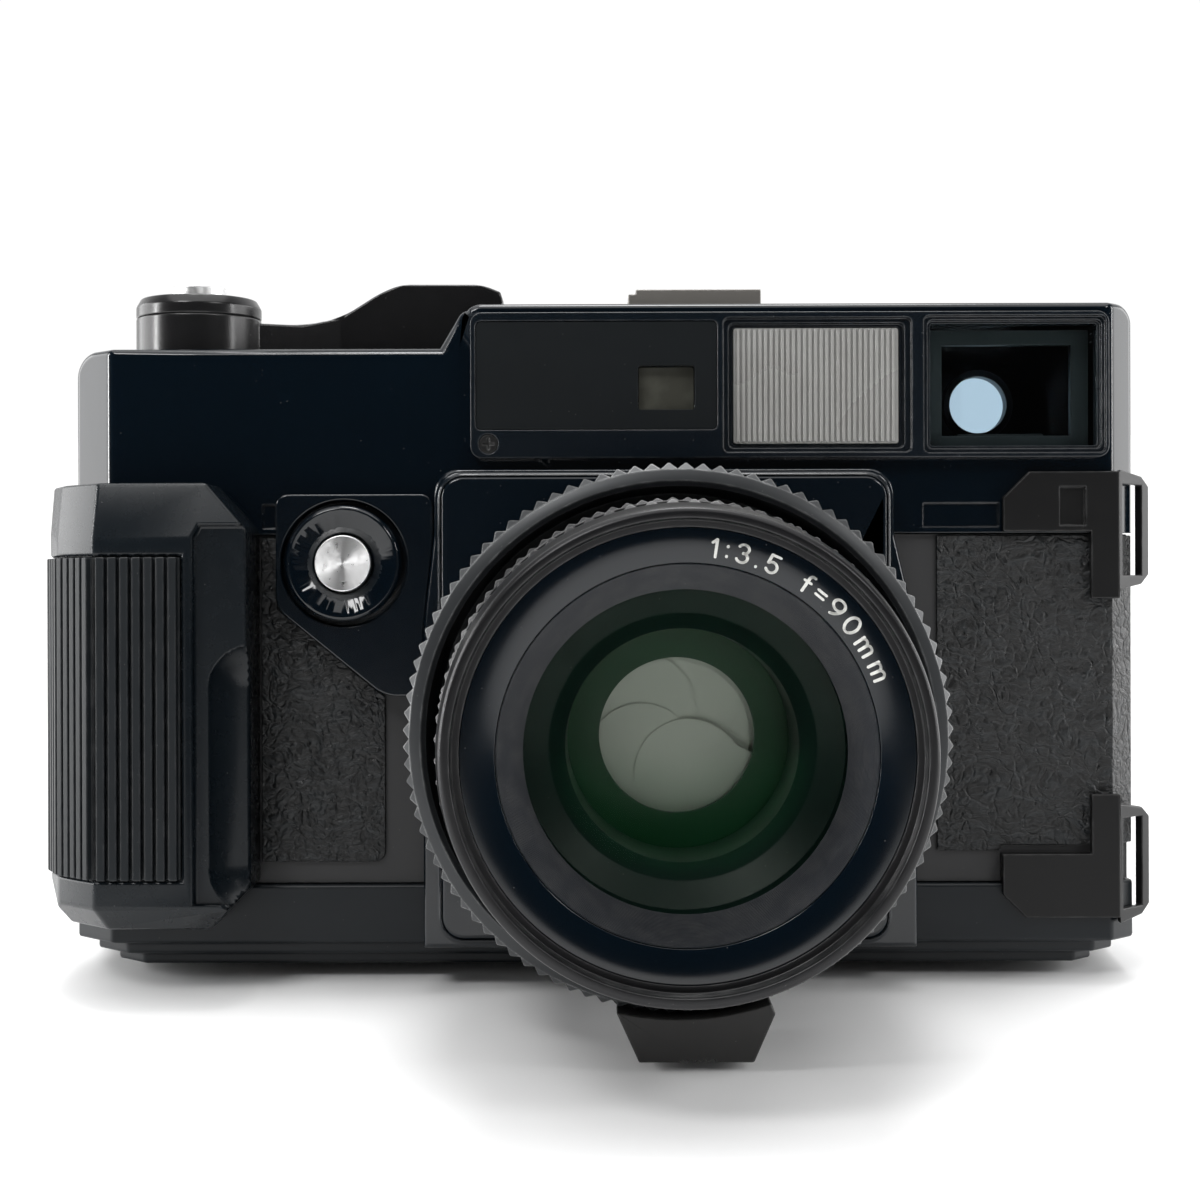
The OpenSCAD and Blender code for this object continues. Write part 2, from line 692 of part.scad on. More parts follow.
// Case of the leaf shutter with its blade chamber and pivot pins.
module shutter_housing() color(satin) {
    turned([[12.6, shutter_rear], [31.1, shutter_rear], [31.1, 50], [12.6, 50], [12.6, 48.6],
        [29.8, 48.6], [29.8, 42], [12.6, 42]]);
    for (i = [0:blade_count - 1])
        on_axis() rotate(i * 360 / blade_count + pivot_angle) translate([blade_pivot_r, 0, 41.5])
            cylinder(h = 7.5, r = 0.9);
}

// One shutter blade: a disc that covers the opening, an arm and a pivot eye.
module blade(index) color(silver) {
    on_axis() translate([0, 0, blade_first + (index - 1) * blade_step])
        rotate((index - 1) * 360 / blade_count) linear_extrude(0.35) difference() {
            union() {
                translate([7, 0]) circle(9);
                rotate(pivot_angle) translate([blade_pivot_r, 0]) circle(2.6);
                polygon([[15.5, 2.5], [13.9, 12.9], [10.3, 14.3], [4, 8]]);
            }
            rotate(pivot_angle) translate([blade_pivot_r, 0]) circle(1);
        }
}

module blade_1() blade(1);

module blade_2() blade(2);

module blade_3() blade(3);

module blade_4() blade(4);

module blade_5() blade(5);

// Cell that holds the rear glasses.
module rear_cell() color(satin) turned([[14, 24], [22, 24], [22, 36], [31.1, 36], [31.1, 39.9], [15, 39.9],
    [15, 36], [17, 34], [17, 26], [14, 26]]);

// Rear glass group.
module rear_element() color(clear) on_axis() translate([0, 0, 26.1]) cylinder(h = 7.8, r = 16.9);

// Side view of the advance lever arm, drawn across X and Z.
module lever_face() {
    polygon([[-82, 112.8], [-82, 118.8], [-69, 118.8], [-62, 120.6], [-54.5, 125.4], [-50.5, 127],
        [-35, 127], [-31.5, 125.6], [-31, 124], [-31, 113], [-45, 113]]);
}

// Advance lever: hub drum, shaft, arm and tall thumb piece.
module advance_lever() color(black) difference() {
    union() {
        post(hub_x, hub_y, hub_low, hub_high, hub_r);
        post(hub_x, hub_y, core_high - 11, hub_low + cut, 3);
        intersection() {
            deepen(-30, 60) lever_face();
            rise(hub_low, 128) polygon([[-84, 3], [-62, 12.2], [-31, 13], [-31, 20], [-46, 23.5],
                [-66, 20], [-84, 17]]);
        }
    }
    post(hub_x, hub_y, hub_high - 5.6, 130, 5.6);
    post(hub_x, hub_y, core_high + 8, 130, 1.55);
    intersection() {
        deepen(-30, 60) polygon([[-56, 112], [-49, 122.6], [-33, 122.6], [-33, 112]]);
        rise(112, 124) translate([-60, 16.4]) square([30, 10]);
    }
}

// Bevelled cap round the release button.
module lever_cap() color(black) translate([hub_x, hub_y, 0]) rotate_extrude()
    polygon([[5.5, hub_high], [hub_r, hub_high], [hub_r, 121.6], [hub_r - 0.9, 123.2], [5.5, 123.2]]);

// Top release button with its cable-release thread.
module release_button() color(silver) difference() {
    union() {
        post(hub_x, hub_y, hub_high - 2.6, 125.6, 5.1);
        post(hub_x, hub_y, core_high + 12, hub_high - 2, 1.5);
    }
    post(hub_x, hub_y, 121, 130, 1.6);
}

// Dished collar round the front release.
module front_collar() color(black) translate([front_x, 0, front_z]) rotate([90, 0, 0]) rotate_extrude()
    polygon([[5.4, 12.4], [10.4, 12.4], [10.4, 16.2], [9.9, 16.9], [9.5, 16.9], [5.4, 14.8]]);

// Front release button.
module front_button() color(silver) translate([front_x, 0, front_z]) rotate([90, 0, 0]) {
    translate([0, 0, 14.6]) cylinder(h = 2.2, r = 5.06);
    translate([0, 0, 10.2]) cylinder(h = 5, r = 3);
}

// Hinged camera back: tray, hinge knuckles and the sill for the hinge.
module back_door() color(satin) difference() {
    union() {
        rise(door_low, door_high) rounded(door_left, door_right, door_front, door_back, 3.2);
        rise(door_low, hinge_mid_low - door_gap) knuckle_plan();
        rise(hinge_mid_high + door_gap, door_high) knuckle_plan();
    }
    block(door_left + 3, door_right - 3, door_front - cut, door_back - 2.4, door_low + 2.2, door_high - 2.2);
    post(hinge_x, hinge_y, door_low - cut, door_high + cut, 1.25);
    block(door_right - 1.6, door_right + cut, door_front - cut, door_front + 3, 56, 82);
}

// Plan of a door knuckle with its leaf.
module knuckle_plan() {
    translate([hinge_x, hinge_y]) circle(hinge_r);
    translate([hinge_x, hinge_y - 1.8]) square([5.5, 3.6]);
}

// Leather on the outside of the back.
module door_leather() color(hide) deepen(door_back, door_back + 0.8) rounded(-95, 79, 15, 78, 3);

// Film pressure plate with its four guide studs.
module pressure_plate() color(satin) {
    block(-45.5, 45.5, door_front + 0.4, door_front + 1.4, 13.4, 76);
    for (x = [-34, 34], z = [26, 63])
        translate([x, door_front + 5, z]) rotate([90, 0, 0]) cylinder(h = 4, r = 2.2);
}

// Middle hinge leaf on the chassis with the pin through all three knuckles.
module hinge_pin() color(silver) {
    post(hinge_x, hinge_y, door_low + 0.8, door_high - 0.8, 1.2);
    post(hinge_x, hinge_y, hinge_mid_low, hinge_mid_high, hinge_r);
    block(-108, hinge_x + 1.4, 16, hinge_y, hinge_mid_low, hinge_mid_high);
}

// Sliding latch on the right side that frees the back.
module door_latch() color(silver) {
    block(cast_right - 1, cast_right + 1.6, 8, 16.2, 62, 79);
    for (i = [0:3])
        block(cast_right + 1.5, cast_right + 2.4, 8.4, 15.8, 64 + i * 3.4, 65.4 + i * 3.4);
}

chassis();
roller_left();
roller_right();
takeup_spool();
spool_knob_left();
spool_knob_right();
bottom_cover();
top_cover();
lens_surround();
release_panel();
grip();
grip_pad();
left_leather();
right_leather();
finder_bezel();
nameplate();
screws();
patch_window();
frosted_window();
finder_window();
finder_base();
beam_splitter();
patch_mirror();
eyepiece_ring();
eyepiece_glass();
accessory_shoe();
upper_lug();
lower_lug();
tripod_insert();
counter_window();
counter_dial();
lens_flange();
scale_ring();
focus_ring();
focus_tab();
lens_barrel();
speed_ring();
aperture_ring();
name_ring();
baffle();
front_cell();
front_element();
shutter_housing();
blade_1();
blade_2();
blade_3();
blade_4();
blade_5();
rear_cell();
rear_element();
advance_lever();
lever_cap();
release_button();
front_collar();
front_button();
back_door();
door_leather();
pressure_plate();
hinge_pin();
door_latch();
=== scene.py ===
"""Studio picture of a 6x9 rangefinder camera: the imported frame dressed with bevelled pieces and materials."""

import json
import math

import bmesh
import bpy
from mathutils import Matrix, Vector

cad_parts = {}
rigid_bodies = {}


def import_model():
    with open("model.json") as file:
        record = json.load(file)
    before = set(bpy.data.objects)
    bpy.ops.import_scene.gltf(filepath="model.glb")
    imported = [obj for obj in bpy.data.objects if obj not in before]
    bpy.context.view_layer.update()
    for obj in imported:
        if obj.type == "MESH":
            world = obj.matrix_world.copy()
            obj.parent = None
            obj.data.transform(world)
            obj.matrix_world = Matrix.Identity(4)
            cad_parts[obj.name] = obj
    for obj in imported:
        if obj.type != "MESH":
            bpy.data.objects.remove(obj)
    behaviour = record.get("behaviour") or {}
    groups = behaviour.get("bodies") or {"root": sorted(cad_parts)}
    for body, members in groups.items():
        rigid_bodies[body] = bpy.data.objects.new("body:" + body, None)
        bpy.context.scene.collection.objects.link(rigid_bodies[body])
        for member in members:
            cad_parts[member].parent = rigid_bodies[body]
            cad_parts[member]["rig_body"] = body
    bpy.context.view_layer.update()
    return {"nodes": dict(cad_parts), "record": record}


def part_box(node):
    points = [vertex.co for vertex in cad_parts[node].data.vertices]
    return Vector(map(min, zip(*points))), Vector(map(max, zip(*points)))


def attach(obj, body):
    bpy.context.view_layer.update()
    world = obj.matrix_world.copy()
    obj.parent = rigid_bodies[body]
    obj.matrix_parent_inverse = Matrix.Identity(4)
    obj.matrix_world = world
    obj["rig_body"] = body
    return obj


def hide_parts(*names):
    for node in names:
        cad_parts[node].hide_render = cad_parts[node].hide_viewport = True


MM = 0.001
AXIS_Z = 44.5
WELD_DISTANCE = 0.002
FLAT_ANGLE = 0.6

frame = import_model()
NODES = frame["nodes"]
SLOT_OF = {row["node"]: row["material_slot"] for row in frame["record"]["subparts"]}


# ---------------------------------------------------------------- shader building

def new_look(name):
    """Empty node tree with its output, ready for add()."""
    look = bpy.data.materials.new(name)
    look.use_nodes = True
    look.node_tree.nodes.clear()
    return look


def add(look, kind, inputs=None, **settings):
    """Adds a shader node; an input may be a value or another node's socket."""
    tree = look.node_tree
    node = tree.nodes.new("ShaderNode" + kind)
    for key, value in settings.items():
        setattr(node, key, value)
    for key, value in (inputs or {}).items():
        socket = node.inputs[key]
        if isinstance(value, bpy.types.NodeSocket):
            tree.links.new(value, socket)
        else:
            socket.default_value = value
    return node


def rgb(value, tint=(1.0, 1.0, 1.0)):
    """Grey of one value with a tint, as RGBA."""
    return (value * tint[0], value * tint[1], value * tint[2], 1.0)


def object_coords(look):
    """Object coordinates in metres."""
    return add(look, "TexCoord").outputs["Object"]


def noise(look, coords, scale, detail=3.0, roughness=0.5):
    """Noise texture value; scale is in cycles per metre."""
    return add(look, "TexNoise", {"Vector": coords, "Scale": scale, "Detail": detail,
                                  "Roughness": roughness}).outputs["Fac"]


def remap(look, value, low, high, out_low, out_high):
    """Value carried from one range to another, clamped."""
    return add(look, "MapRange", {"Value": value, "From Min": low, "From Max": high,
                                  "To Min": out_low, "To Max": out_high}).outputs["Result"]


def mix_colour(look, factor, first, second):
    """Mix of two colours or sockets by a factor."""
    node = add(look, "Mix", data_type="RGBA")
    sockets = [s for s in node.inputs if s.enabled]
    for socket, value in zip(sockets, (factor, first, second)):
        if isinstance(value, bpy.types.NodeSocket):
            look.node_tree.links.new(value, socket)
        else:
            socket.default_value = value
    return [s for s in node.outputs if s.enabled][0]


def maths(look, operation, first, second=0.0):
    """Result of a maths node on two numbers or sockets."""
    node = add(look, "Math", operation=operation)
    for socket, value in zip(node.inputs, (first, second)):
        if isinstance(value, bpy.types.NodeSocket):
            look.node_tree.links.new(value, socket)
        else:
            socket.default_value = value
    return node.outputs["Value"]


def bump(look, height, strength, distance, normal=None):
    """Normal raised by a height; distance is in metres."""
    inputs = {"Height": height, "Strength": strength, "Distance": distance}
    if normal is not None:
        inputs["Normal"] = normal
    return add(look, "Bump", inputs).outputs["Normal"]


def finish_look(look, shader):
    """Links a shader to the output and returns the material."""
    output = add(look, "OutputMaterial")
    look.node_tree.links.new(shader, output.inputs["Surface"])
    return look


def dust_specks(look, coords, density=900.0, size=0.10):
    """Small separate spots: 1 on a speck and 0 elsewhere."""
    spots = add(look, "TexVoronoi", {"Vector": coords, "Scale": density, "Randomness": 1.0})
    near = remap(look, spots.outputs["Distance"], size, size * 0.4, 0.0, 1.0)
    cell = add(look, "SeparateColor", {"Color": spots.outputs["Color"]}).outputs[0]
    chosen = maths(look, "GREATER_THAN", cell, 0.86)
    return maths(look, "MULTIPLY", near, chosen)


def painted(name, colour, rough=0.25, spread=0.06, grain=0.02, grain_scale=2500.0, wear=0.25,
            specular=0.5, metallic=0.0, wear_tone=0.16, dust=0.35):
    """Paint, anodising or moulded plastic: uneven gloss, fine grain, dust and slightly worn edges."""
    look = new_look(name)
    coords = object_coords(look)
    cloud = noise(look, coords, 45.0, 4.0)
    fine = noise(look, coords, grain_scale, 2.0)
    mid = noise(look, coords, 320.0, 5.0, 0.6)
    tone = mix_colour(look, remap(look, cloud, 0.35, 0.65, 0.0, 1.0),
                      tuple(c * 0.95 for c in colour) + (1.0,), tuple(c * 1.06 for c in colour) + (1.0,))
    rounded = add(look, "Bevel", {"Radius": 0.0005}, samples=3).outputs["Normal"]
    flat = add(look, "NewGeometry").outputs["Normal"]
    agreement = add(look, "VectorMath", {0: rounded, 1: flat}, operation="DOT_PRODUCT").outputs["Value"]
    worn = maths(look, "MULTIPLY", remap(look, agreement, 0.98, 0.88, 0.0, wear),
                 remap(look, mid, 0.42, 0.62, 0.2, 1.0))
    tone = mix_colour(look, worn, tone, rgb(wear_tone))
    specks = maths(look, "MULTIPLY", dust_specks(look, coords), dust)
    tone = mix_colour(look, specks, tone, rgb(0.22, (1.0, 0.98, 0.95)))
    gloss = maths(look, "ADD", remap(look, mid, 0.3, 0.7, rough - spread * 0.3, rough + spread * 0.3),
                  maths(look, "MULTIPLY", specks, 0.5))
    normal = bump(look, fine, grain * 0.35, 0.0001)
    shader = add(look, "BsdfPrincipled", {"Base Color": tone, "Roughness": gloss, "Metallic": metallic,
                                          "Specular IOR Level": specular, "Normal": normal})
    return finish_look(look, shader.outputs["BSDF"])


def leather(name):
    """Embossed leatherette: pebbles and slanting wrinkles, with painted shade in the creases and painted
    highlight on the crests.
    """
    look = new_look(name)
    coords = object_coords(look)
    drift = add(look, "TexNoise", {"Vector": coords, "Scale": 160.0, "Detail": 3.0}).outputs["Color"]
    bent = mix_colour(look, 0.006, coords, drift)
    pebbles = add(look, "TexVoronoi", {"Vector": bent, "Scale": 1050.0}, feature="SMOOTH_F1")
    wide = add(look, "TexVoronoi", {"Vector": bent, "Scale": 420.0}, feature="DISTANCE_TO_EDGE")
    crease = remap(look, wide.outputs["Distance"], 0.0, 0.16, 0.0, 1.0)
    stretched = add(look, "Mapping", {"Vector": bent, "Scale": (1.0, 1.0, 3.2),
                                      "Rotation": (0.0, math.radians(6), 0.0)}).outputs["Vector"]
    wrinkle = add(look, "TexNoise", {"Vector": stretched, "Scale": 190.0, "Detail": 5.0,
                                     "Roughness": 0.6, "Distortion": 0.3}).outputs["Fac"]
    folds = maths(look, "ABSOLUTE", maths(look, "SUBTRACT", wrinkle, 0.5))
    height = maths(look, "ADD", maths(look, "MULTIPLY", pebbles.outputs["Distance"], -0.5),
                   maths(look, "ADD", maths(look, "MULTIPLY", crease, 0.35),
                         maths(look, "MULTIPLY", folds, 2.2)))
    # painted shade and highlight: colour darker down in the wrinkle creases and lighter on the crests
    tone = mix_colour(look, remap(look, folds, 0.0, 0.12, 0.0, 1.0), rgb(0.005), rgb(0.013, (0.86, 1.0, 1.1)))
    gloss = remap(look, noise(look, coords, 700.0, 3.0), 0.3, 0.7, 0.26, 0.42)
    normal = bump(look, height, 0.9, 0.0004)
    shader = add(look, "BsdfPrincipled", {"Base Color": tone, "Roughness": gloss, "Normal": normal,
                                          "Specular IOR Level": 0.36})
    return finish_look(look, shader.outputs["BSDF"])


def bright_metal(name, tone, rough, rings=0.0, centre=(0.0, 0.0, 0.0), axis=(0.0, 1.0, 0.0)):
    """Steel or chrome; rings above zero adds the fine circles of a turned face about a centre in mm."""
    look = new_look(name)
    coords = object_coords(look)
    grime = noise(look, coords, 400.0, 4.0)
    colour = mix_colour(look, remap(look, grime, 0.35, 0.7, 0.0, 0.6), rgb(tone), rgb(tone * 0.93))
    gloss = remap(look, noise(look, coords, 900.0, 3.0), 0.3, 0.7, rough * 0.75, rough * 1.3)
    normal = bump(look, noise(look, coords, 3000.0, 2.0), 0.05, 0.0001)
    inputs = {"Base Color": colour, "Roughness": gloss, "Metallic": 1.0, "Normal": normal}
    if rings:
        place = add(look, "VectorMath", {0: coords, 1: tuple(c * MM for c in centre)}, operation="SUBTRACT")
        along = add(look, "VectorMath", {0: place.outputs[0], 1: axis}, operation="MULTIPLY")
        flat = add(look, "VectorMath", {0: place.outputs[0], 1: along.outputs[0]}, operation="SUBTRACT")
        radius = add(look, "VectorMath", {0: flat.outputs[0]}, operation="LENGTH").outputs["Value"]
        grooves = add(look, "TexNoise", {"Vector": add(look, "CombineXYZ", {"X": radius}).outputs[0],
                                         "Scale": 9000.0, "Detail": 2.0}).outputs["Fac"]
        inputs["Normal"] = bump(look, grooves, rings, 0.00004, normal)
        inputs["Anisotropic"] = 0.85
        tangent = add(look, "VectorMath", {0: flat.outputs[0], 1: axis}, operation="CROSS_PRODUCT")
        inputs["Tangent"] = add(look, "VectorMath", {0: tangent.outputs[0]}, operation="NORMALIZE").outputs[0]
    shader = add(look, "BsdfPrincipled", inputs)
    return finish_look(look, shader.outputs["BSDF"])


def coated_glass(name, tint, glow=(1.0, 1.0, 1.0), ior=1.35, rough=0.01):
    """Thin clear glass: tinted view through it, gloss by Fresnel, faint smears."""
    look = new_look(name)
    coords = object_coords(look)
    smear = remap(look, noise(look, coords, 70.0, 4.0), 0.45, 0.75, rough, rough + 0.05)
    through = add(look, "BsdfTransparent", {"Color": tint + (1.0,)})
    gloss = add(look, "BsdfGlossy", {"Color": glow + (1.0,), "Roughness": smear})
    outer = maths(look, "SUBTRACT", 1.0, add(look, "NewGeometry").outputs["Backfacing"])
    edge = maths(look, "MULTIPLY", add(look, "Fresnel", {"IOR": ior}).outputs[0], outer)
    shader = add(look, "MixShader", {0: edge, 1: through.outputs[0], 2: gloss.outputs[0]})
    return finish_look(look, shader.outputs[0])


def diffusing_window(name):
    """Milky acrylic with fine upright ribs."""
    look = new_look(name)
    coords = object_coords(look)
    cloud = noise(look, coords, 42.0, 2.0)
    tone = mix_colour(look, remap(look, cloud, 0.38, 0.64, 0.0, 1.0), rgb(0.29, (1.0, 0.99, 0.95)),
                      rgb(0.34, (1.0, 1.0, 0.97)))
    gloss = remap(look, noise(look, coords, 60.0, 1.0), 0.3, 0.7, 0.26, 0.30)
    normal = bump(look, cloud, 0.02, 0.0002)
    shader = add(look, "BsdfPrincipled", {"Base Color": tone, "Roughness": gloss, "Normal": normal,
                                          "Specular IOR Level": 0.9})
    return finish_look(look, shader.outputs["BSDF"])


def olive_window(name):
    """Thick olive glass over a mirror: a dim body with a soft glossy face."""
    look = new_look(name)
    coords = object_coords(look)
    cloud = noise(look, coords, 160.0, 3.0)
    tone = mix_colour(look, remap(look, cloud, 0.4, 0.62, 0.0, 1.0), rgb(0.055, (1.0, 1.0, 0.82)),
                      rgb(0.085, (1.0, 1.0, 0.84)))
    gloss = remap(look, noise(look, coords, 500.0), 0.3, 0.7, 0.06, 0.14)
    shader = add(look, "BsdfPrincipled", {"Base Color": tone, "Roughness": gloss,
                                          "Normal": bump(look, cloud, 0.1, 0.0003)})
    return finish_look(look, shader.outputs["BSDF"])


def marking(name, colour):
    """Filled engraving: matt paint with a slightly uneven tone."""
    look = new_look(name)
    coords = object_coords(look)
    cloud = noise(look, coords, 1500.0, 3.0)
    tone = mix_colour(look, remap(look, cloud, 0.3, 0.7, 0.0, 1.0), tuple(c * 0.86 for c in colour) + (1.0,),
                      colour + (1.0,))
    gloss = remap(look, cloud, 0.3, 0.7, 0.4, 0.6)
    shader = add(look, "BsdfPrincipled", {"Base Color": tone, "Roughness": gloss,
                                          "Normal": bump(look, cloud, 0.2, 0.00005)})
    return finish_look(look, shader.outputs["BSDF"])


BLACK = (0.0010, 0.0034, 0.0064)
SOFT_BLACK = (0.0034, 0.0056, 0.0078)

LOOKS = {
    "casting": painted("casting_paint", (0.02, 0.02, 0.021), 0.55, grain=0.1),
    "roller_steel": bright_metal("ground_steel", 0.55, 0.28),
    "spool_plastic": painted("spool_plastic", (0.015, 0.015, 0.015), 0.42, grain=0.05),
    "knob_black": painted("knob_plastic", (0.008, 0.008, 0.009), 0.3),
    "base_satin": painted("base_paint", SOFT_BLACK, 0.36, 0.07, 0.06, 2200.0, specular=0.3),
    "cover_gloss": painted("cover_gloss", BLACK, 0.13, 0.03, 0.012, 1600.0),
    "surround_gloss": painted("surround_gloss", BLACK, 0.16, 0.03, 0.012, 1600.0),
    "grip_black": painted("grip_moulding", SOFT_BLACK, 0.27, 0.05, 0.04, 2400.0, specular=0.3),
    "grip_rubber": painted("grip_rubber", (0.006, 0.008, 0.0098), 0.46, 0.05, 0.12, 2600.0, wear=0.3,
                           specular=0.22),
    "leatherette": leather("leatherette"),
    "bezel_black": painted("bezel_plastic", BLACK, 0.24, 0.04, 0.03, 2000.0),
    "nameplate_black": painted("nameplate_paint", (0.0035, 0.005, 0.006), 0.42, 0.05, 0.05, 2600.0, wear=0.0,
                               specular=0.22),
    "screw_steel": painted("screw_blackened", (0.03, 0.03, 0.03), 0.34, metallic=0.8, wear=0.5),
    "window_glass": coated_glass("window_glass", (0.86, 0.90, 0.92)),
    "diffuser": diffusing_window("ribbed_diffuser"),
    "finder_metal": painted("finder_matt", (0.012, 0.018, 0.017), 0.5, grain=0.1),
    "prism_glass": coated_glass("prism_glass", (0.86, 0.91, 0.95), ior=1.02),
    "mirror_silver": bright_metal("front_mirror", 0.85, 0.04),
    "eyepiece_black": painted("eyepiece_rubber", (0.012, 0.012, 0.012), 0.5, grain=0.12),
    "eyepiece_glass": coated_glass("eyepiece_glass", (0.88, 0.93, 0.96)),
    "shoe_metal": painted("shoe_plate", (0.20, 0.19, 0.175), 0.42, 0.06, 0.06, metallic=0.6, wear=0.5,
                          wear_tone=0.3),
    "lug_black": painted("lug_paint", (0.005, 0.005, 0.0052), 0.34, 0.05, 0.05, wear=0.45, specular=0.25),
    "tripod_brass": bright_metal("turned_insert", 0.6, 0.22, 0.3, (0, 0, 0), (0, 0, 1)),
    "counter_glass": coated_glass("counter_glass", (0.6, 0.6, 0.62)),
    "dial_white": painted("dial_print", (0.6, 0.6, 0.57), 0.5, wear=0.0),
    "flange_metal": painted("flange_anodised", (0.01, 0.01, 0.01), 0.4, metallic=0.3),
    "scale_black": painted("scale_anodised", (0.008, 0.008, 0.009), 0.36, 0.05, 0.05, metallic=0.4),
    # painted reflection: dark anodised black lifted above the other rings' tone to stand in for light reflected
    # on the ring's face
    "focus_black": painted("focus_anodised_painted_reflection", (0.020, 0.022, 0.024), 0.36, 0.05, 0.05, metallic=0.3,
                           wear=0.75, wear_tone=0.4),
    "tab_plastic": painted("tab_plastic", (0.009, 0.0085, 0.008), 0.45, 0.05, 0.08, wear=0.2),
    "barrel_black": painted("barrel_anodised", (0.008, 0.008, 0.009), 0.3, 0.04, 0.04, metallic=0.45,
                            wear=0.35),
    "setting_black": painted("setting_anodised", (0.009, 0.009, 0.010), 0.36, 0.05, 0.05, metallic=0.3,
                             wear=0.5, wear_tone=0.45),
    "name_black": painted("name_ring_gloss", BLACK, 0.11, 0.02, 0.01, 1800.0, wear=0.0),
    "baffle_black": painted("baffle_ribs", (0.011, 0.013, 0.017), 0.42, 0.06, 0.04, wear=0.5, wear_tone=0.05,
                            specular=0.3),
    # painted reflection: dark green tint in place of the green coating sheen round the pupil
    "cell_black": painted("cell_painted_green_sheen", (0.004, 0.011, 0.009), 0.4, 0.05, 0.05, specular=0.15),
    "coated_glass": coated_glass("front_glass", (0.93, 0.955, 0.93), (0.2, 0.9, 0.4), 1.16, 0.2),
    # painted reflection: vivid green standing in for the green coating sheen round the pupil
    "shutter_black": painted("shutter_painted_green_sheen", (0.005, 0.045, 0.016), 0.4),
    "blade_steel": painted("blade_steel", (0.62, 0.62, 0.58), 0.45, 0.06, metallic=0.1, wear=0.1, dust=0.0),
    "rear_glass": coated_glass("rear_glass", (0.6, 0.8, 0.68)),
    "lever_black": painted("lever_paint", (0.006, 0.006, 0.0065), 0.24, 0.05, 0.03, wear=0.5),
    "button_chrome": bright_metal("button_spun", 0.93, 0.34, 0.3, (-58.3, -16.8, 73.0), (0, 1, 0)),
    "collar_black": painted("collar_gloss", BLACK, 0.09, 0.03, 0.01, 1600.0, wear=0.5),
    "door_black": painted("door_paint", SOFT_BLACK, 0.33, 0.06, 0.05),
    "plate_black": painted("plate_anodised", (0.015, 0.015, 0.016), 0.4, metallic=0.4),
    "pin_steel": painted("pin_blackened", (0.02, 0.02, 0.02), 0.34, metallic=0.7, wear=0.5),
    "latch_grey": bright_metal("latch_satin", 0.62, 0.36),
}
PATCH_LOOK = olive_window("patch_glass")
WHITE_INK = marking("white_filling", (0.80, 0.80, 0.76))


# ---------------------------------------------------------------- geometry building

KNURL_WALL = 0.9


def station(radius, angle, forward):
    """Point on the lens: radius and forward distance in mm, angle in radians from +X."""
    return Vector((radius * math.cos(angle), -forward, AXIS_Z + radius * math.sin(angle))) * MM


def piece(name, bm, node, look=None, smooth_angle=35.0, stands_for=True):
    """Turns a bmesh into a shown piece that rides with a CAD node's body and takes its slot."""
    bmesh.ops.recalc_face_normals(bm, faces=bm.faces)
    limit = math.radians(smooth_angle)
    for face in bm.faces:
        face.smooth = True
    for edge in bm.edges:
        if len(edge.link_faces) == 2:
            edge.smooth = edge.calc_face_angle(0.0) < limit
    mesh = bpy.data.meshes.new(name)
    bm.to_mesh(mesh)
    bm.free()
    obj = bpy.data.objects.new(name, mesh)
    bpy.context.scene.collection.objects.link(obj)
    mesh.materials.append(look or LOOKS[SLOT_OF[node]])
    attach(obj, NODES[node]["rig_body"])
    if stands_for:
        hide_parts(node)
        NODES[node].hide_render = True
        NODES[node].hide_viewport = True
    return obj


def clean_copy(node):
    """Welded copy of a CAD node's mesh with its flat faces made whole again."""
    bm = bmesh.new()
    bm.from_mesh(NODES[node].data)
    bmesh.ops.remove_doubles(bm, verts=bm.verts, dist=WELD_DISTANCE * MM)
    bmesh.ops.dissolve_limit(bm, angle_limit=math.radians(FLAT_ANGLE), verts=bm.verts, edges=bm.edges)
    return bm


def corner_rounder(corners, radius):
    """Rounds the outline of a plate at the given (X, Z) corners in mm."""
    def rounder(bm):
        chosen = []
        for edge in bm.edges:
            first, second = (v.co / MM for v in edge.verts)
            middle = (first + second) / 2
            upright = abs((second - first).normalized().y) > 0.99
            near = any(math.hypot(middle.x - x, middle.z - z) < 0.15 for x, z in corners)
            if upright and near:
                chosen.append(edge)
        bmesh.ops.bevel(bm, geom=chosen, offset=radius * MM, segments=6, profile=0.5, affect="EDGES",
                        clamp_overlap=False)
    return rounder


def refined(node, width=0.25, segments=3, angle=28.0, weight=None, keep=None, look=None):
    """Bevelled copy of a CAD node; weight(middle in mm, direction) scales each edge's bevel."""
    bm = clean_copy(node)
    if keep:
        keep(bm)
    layer = bm.edges.layers.float.new("bevel_weight_edge")
    limit = math.radians(angle)
    for edge in bm.edges:
        if len(edge.link_faces) == 2 and edge.calc_face_angle(0.0) > limit:
            middle = (edge.verts[0].co + edge.verts[1].co) / 2 / MM
            along = (edge.verts[1].co - edge.verts[0].co).normalized()
            edge[layer] = weight(middle, along) if weight else 1.0
    obj = piece(node + "_shape", bm, node, look)
    rounding = obj.modifiers.new("rounding", "BEVEL")
    rounding.width = width * MM
    rounding.segments = segments
    rounding.limit_method = "WEIGHT"
    rounding.use_clamp_overlap = False
    rounding.loop_slide = False
    normals = obj.modifiers.new("normals", "WEIGHTED_NORMAL")
    normals.keep_sharp = True
    normals.weight = 95
    for polygon in obj.data.polygons:
        polygon.use_smooth = True
    for edge in obj.data.edges:
        edge.use_edge_sharp = False
    return obj


def filleted(profile, radius=0.25, steps=3):
    """Rounds each corner of an open or closed [radius, station] profile."""
    points = [Vector(p[:2]) for p in profile]
    radii = [p[2] if len(p) > 2 else radius for p in profile]
    result = []
    for index, here in enumerate(points):
        back, ahead = points[index - 1] - here, points[(index + 1) % len(points)] - here
        reach = min(radii[index], back.length * 0.45, ahead.length * 0.45)
        if reach < 0.01:
            result.append(here)
            continue
        start, end = here + back.normalized() * reach, here + ahead.normalized() * reach
        for step in range(steps + 1):
            t = step / steps
            result.append(start * (1 - t) ** 2 + here * 2 * t * (1 - t) + end * t ** 2)
    return result


